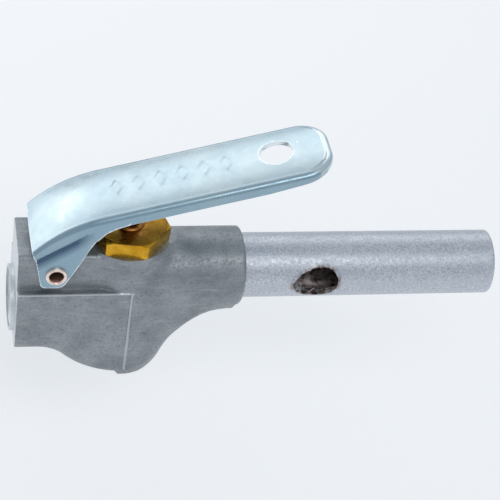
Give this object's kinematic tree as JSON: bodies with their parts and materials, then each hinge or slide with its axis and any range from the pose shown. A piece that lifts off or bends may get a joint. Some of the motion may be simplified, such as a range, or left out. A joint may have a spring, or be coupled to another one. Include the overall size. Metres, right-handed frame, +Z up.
{
  "type": "lever-operated nozzle",
  "caption": "Lever-operated nozzle: cast body with threaded inlet, brass valve cartridge, stamped lever on a rivet and a straight side-ported spout.",
  "frame": {"origin": "centre of the inlet port's mouth, on its axis", "axes": "+X from the inlet towards the spout, +Z up from the spout to the lever, +Y to the left, so that XZ is the nozzle's middle plane"},
  "size_m": [0.1424, 0.024, 0.0802],
  "materials": {
    "casting": "as-cast grey, fine grain",
    "tube": "speckled satin",
    "jet": "turned",
    "brass": "machined, tumbled",
    "gland": "machined, dulled",
    "stem": "turned, dulled",
    "holder": "turned",
    "nitrile": "moulded",
    "fibre": "pressed fibre",
    "nylon": "moulded",
    "plated_steel": "zinc plated",
    "spring_steel": "drawn wire",
    "zinc_sheet": "bright zinc plate",
    "rivet": "copper-flashed zinc"
  },
  "bodies": {
    "body": {"valve_body": "casting", "spout_tube": "tube", "jet_insert": "jet", "bonnet": "brass", "bonnet_oring": "nitrile", "seat_gasket": "fibre", "packing_oring": "nitrile", "packing_spacer": "nylon", "gland_bush": "gland", "valve_spring": "spring_steel", "spring_cup": "plated_steel"},
    "lever_arm": {"lever": "zinc_sheet", "pivot_rivet": "rivet"},
    "poppet": {"valve_stem": "stem", "disc_washer": "plated_steel", "seat_disc": "nitrile", "disc_holder": "holder", "disc_nut": "plated_steel"}
  },
  "joints": [
    {"name": "lever_pivot", "type": "hinge", "parent": "body", "child": "lever_arm", "pos_m": [0.0119, 0, 0.018], "axis": [0, 1, 0], "range_deg": [0, 8], "stiffness_Nm_per_rad": 0.93, "springref_deg": -11.46},
    {"name": "stem_slide", "type": "slide", "parent": "body", "child": "poppet", "axis": [0, 0, -1], "range_m": [0, 0.0035], "deforming": ["valve_spring"]}
  ],
  "couplings": [
    {"joint": "stem_slide", "follows": "lever_pivot", "m_per_rad": 0.0249}
  ]
}
